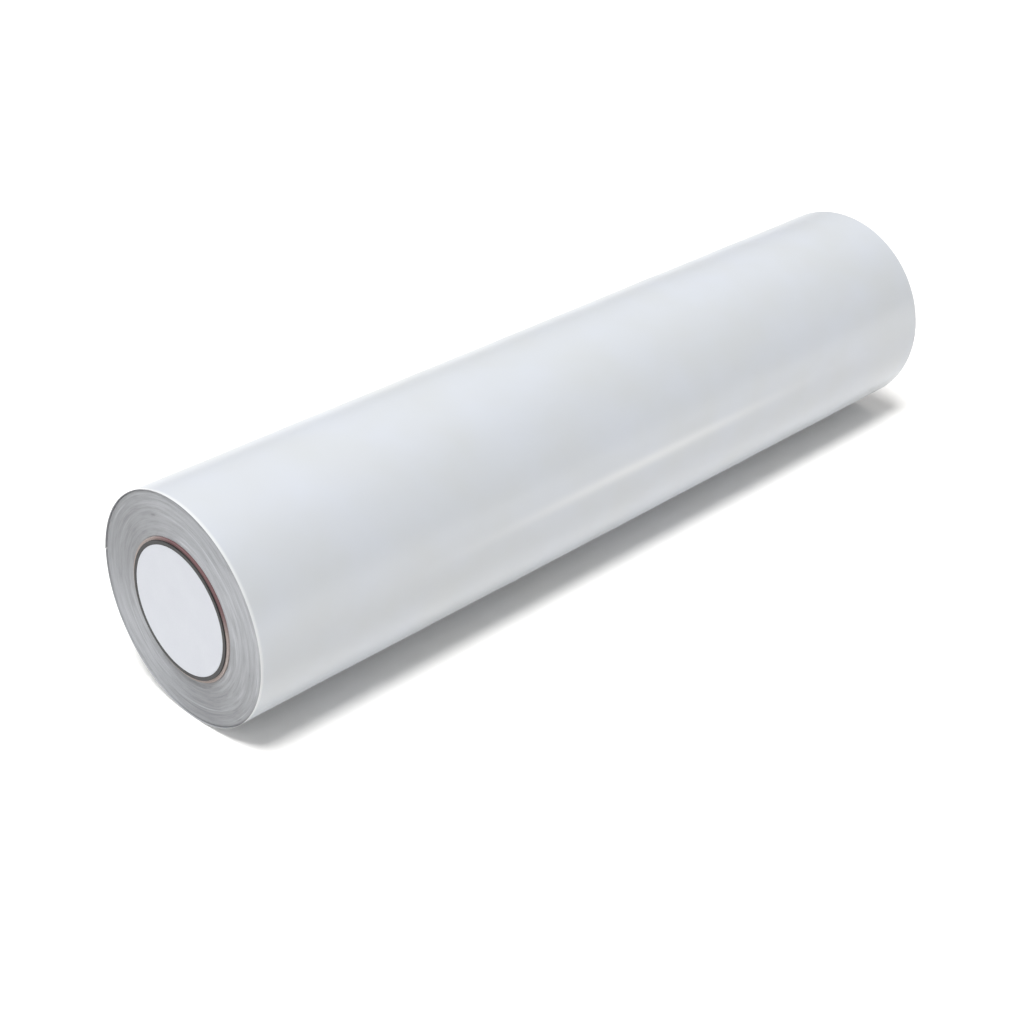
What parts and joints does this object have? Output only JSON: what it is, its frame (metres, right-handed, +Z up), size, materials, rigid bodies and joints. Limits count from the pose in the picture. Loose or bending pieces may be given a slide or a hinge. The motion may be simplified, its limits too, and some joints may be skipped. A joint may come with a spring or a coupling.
{
  "type": "roll of sign vinyl",
  "caption": "Roll of white self-adhesive sign vinyl wound face out on a paper core, with push-in end plugs carrying blank round labels and a taped-down loose tail.",
  "frame": {"origin": "middle of the roll's length, under its axis, on the plane it lies on", "axes": "+X along the roll's axis towards the right-hand plug, +Z up, +Y towards the side that the loose tail hangs down"},
  "size_m": [0.6134, 0.1456, 0.1456],
  "materials": {
    "core_board": "matt grey-brown wound board",
    "start_tape": "matt double-sided tape",
    "wound_edges": "slit edges of film, grey adhesive and liner, wound tight",
    "white_film": "semi-gloss white calendered film",
    "grey_adhesive": "grey blockout adhesive",
    "liner_paper": "siliconed paper",
    "clear_tape": "clear tape",
    "plug_plastic": "moulded charcoal plastic, lightly grained",
    "label_paper": "matt pale lavender-grey label stock"
  },
  "bodies": {
    "roll": {"core_inner_ply": "core_board", "core_middle_ply_2": "core_board", "core_middle_ply_3": "core_board", "core_middle_ply_4": "core_board", "core_middle_ply_5": "core_board", "core_middle_ply_6": "core_board", "core_outer_ply": "core_board", "core_start_tape": "start_tape", "wound_turns": "wound_edges", "film_outer_turn": "white_film", "adhesive_outer_turn": "grey_adhesive", "liner_outer_turn": "liner_paper"},
    "tail": {"film_tail": "white_film", "adhesive_tail": "grey_adhesive", "liner_tail": "liner_paper", "closure_tab_left": "clear_tape", "closure_tab_middle": "clear_tape", "closure_tab_right": "clear_tape"},
    "left_plug": {"left_plug": "plug_plastic", "left_plug_label": "label_paper"},
    "right_plug": {"right_plug": "plug_plastic", "right_plug_label": "label_paper"}
  },
  "joints": [
    {"name": "left_plug_pull", "type": "slide", "parent": "roll", "child": "left_plug", "axis": [-1, 0, 0], "range_m": [0, 0.15]},
    {"name": "right_plug_pull", "type": "slide", "parent": "roll", "child": "right_plug", "axis": [1, 0, 0], "range_m": [0, 0.15]},
    {"name": "tail_lift", "type": "hinge", "parent": "roll", "child": "tail", "pos_m": [0, 0.0575, 0.1176], "axis": [1, 0, 0], "range_deg": [0, 60]}
  ]
}
